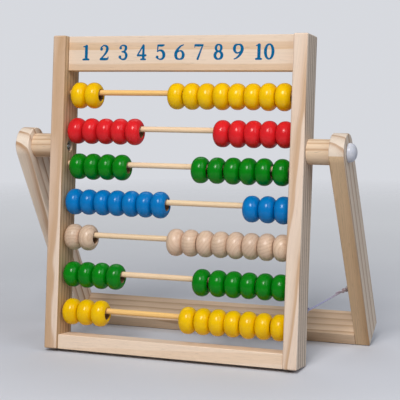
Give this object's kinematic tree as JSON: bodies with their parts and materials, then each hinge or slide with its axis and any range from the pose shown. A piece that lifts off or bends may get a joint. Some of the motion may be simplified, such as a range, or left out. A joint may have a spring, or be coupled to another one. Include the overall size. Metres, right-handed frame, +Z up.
{
  "type": "abacus",
  "caption": "Wooden counting frame with coloured beads on horizontal rods, a numbered top rail and a folding rear stand held by a limiter cord.",
  "frame": {"origin": "on the surface it stands on, in the middle of the whole object's footprint", "axes": "+X to the right along the rods, +Y from the numbered front to the stand behind, +Z up"},
  "size_m": [0.2834, 0.1304, 0.2503],
  "materials": {
    "pine": "planed, unlacquered pine",
    "rod_wood": "plain turned hardwood stick",
    "steel": "zinc plated",
    "cap_plastic": "satin moulded plastic",
    "cord": "braided cord",
    "bead_yellow": "gloss paint",
    "bead_red": "gloss paint",
    "bead_green": "gloss paint",
    "bead_blue": "gloss paint",
    "bead_natural": "clear lacquer"
  },
  "bodies": {
    "frame": {"left_post": "pine", "right_post": "pine", "top_rail": "pine", "bottom_rail": "pine", "top_left_dowel_upper": "pine", "top_left_dowel_lower": "pine", "top_right_dowel_upper": "pine", "top_right_dowel_lower": "pine", "bottom_left_dowel_front": "pine", "bottom_left_dowel_rear": "pine", "bottom_right_dowel_front": "pine", "bottom_right_dowel_rear": "pine", "rod_1": "rod_wood", "rod_2": "rod_wood", "rod_3": "rod_wood", "rod_4": "rod_wood", "rod_5": "rod_wood", "rod_6": "rod_wood", "rod_7": "rod_wood", "left_spacer": "pine", "right_spacer": "pine", "left_pivot_bolt": "steel", "right_pivot_bolt": "steel", "left_pivot_nut": "steel", "right_pivot_nut": "steel", "post_cord_eye": "steel", "limiter_cord": "cord"},
    "stand": {"left_leg": "pine", "right_leg": "pine", "crossbar": "pine", "crossbar_left_dowel_front": "pine", "crossbar_left_dowel_rear": "pine", "crossbar_right_dowel_front": "pine", "crossbar_right_dowel_rear": "pine", "left_cap_washer": "steel", "right_cap_washer": "steel", "left_pivot_cap": "cap_plastic", "right_pivot_cap": "cap_plastic", "leg_cord_eye": "steel"},
    "row_1_left": {"row_1_left_beads": "bead_yellow"},
    "row_1_right": {"row_1_right_beads": "bead_yellow"},
    "row_2_left": {"row_2_left_beads": "bead_red"},
    "row_2_right": {"row_2_right_beads": "bead_red"},
    "row_3_left": {"row_3_left_beads": "bead_green"},
    "row_3_right": {"row_3_right_beads": "bead_green"},
    "row_4_left": {"row_4_left_beads": "bead_blue"},
    "row_4_right": {"row_4_right_beads": "bead_blue"},
    "row_5_left": {"row_5_left_beads": "bead_natural"},
    "row_5_right": {"row_5_right_beads": "bead_natural"},
    "row_6_left": {"row_6_left_beads": "bead_green"},
    "row_6_right": {"row_6_right_beads": "bead_green"},
    "row_7_left": {"row_7_left_beads": "bead_yellow"},
    "row_7_right": {"row_7_right_beads": "bead_yellow"}
  },
  "joints": [
    {"name": "stand_hinge", "type": "hinge", "parent": "frame", "child": "stand", "pos_m": [0, -0.03583, 0.16247], "axis": [-1, 0, 0], "range_deg": [0, 35.7], "deforming": ["limiter_cord"]},
    {"name": "row_1_left_slide", "type": "slide", "parent": "frame", "child": "row_1_left", "axis": [1, 0, 0], "range_m": [-0.002, 0.057]},
    {"name": "row_1_right_slide", "type": "slide", "parent": "frame", "child": "row_1_right", "axis": [1, 0, 0], "range_m": [-0.057, 0.0025]},
    {"name": "row_2_left_slide", "type": "slide", "parent": "frame", "child": "row_2_left", "axis": [1, 0, 0], "range_m": [-0.0001, 0.0606]},
    {"name": "row_2_right_slide", "type": "slide", "parent": "frame", "child": "row_2_right", "axis": [1, 0, 0], "range_m": [-0.0606, 0.0008]},
    {"name": "row_3_left_slide", "type": "slide", "parent": "frame", "child": "row_3_left", "axis": [1, 0, 0], "range_m": [-0.0025, 0.0538]},
    {"name": "row_3_right_slide", "type": "slide", "parent": "frame", "child": "row_3_right", "axis": [1, 0, 0], "range_m": [-0.0538, 0.0023]},
    {"name": "row_4_left_slide", "type": "slide", "parent": "frame", "child": "row_4_left", "axis": [1, 0, 0], "range_m": [-0.0001, 0.0613]},
    {"name": "row_4_right_slide", "type": "slide", "parent": "frame", "child": "row_4_right", "axis": [1, 0, 0], "range_m": [-0.0613, 0.0001]},
    {"name": "row_5_left_slide", "type": "slide", "parent": "frame", "child": "row_5_left", "axis": [1, 0, 0], "range_m": [-0.0002, 0.0612]},
    {"name": "row_5_right_slide", "type": "slide", "parent": "frame", "child": "row_5_right", "axis": [1, 0, 0], "range_m": [-0.0612, 0.0001]},
    {"name": "row_6_left_slide", "type": "slide", "parent": "frame", "child": "row_6_left", "axis": [1, 0, 0], "range_m": [-0.0002, 0.0602]},
    {"name": "row_6_right_slide", "type": "slide", "parent": "frame", "child": "row_6_right", "axis": [1, 0, 0], "range_m": [-0.0602, 0.0002]},
    {"name": "row_7_left_slide", "type": "slide", "parent": "frame", "child": "row_7_left", "axis": [1, 0, 0], "range_m": [-0.0005, 0.0609]},
    {"name": "row_7_right_slide", "type": "slide", "parent": "frame", "child": "row_7_right", "axis": [1, 0, 0], "range_m": [-0.0609, 0.0001]}
  ]
}
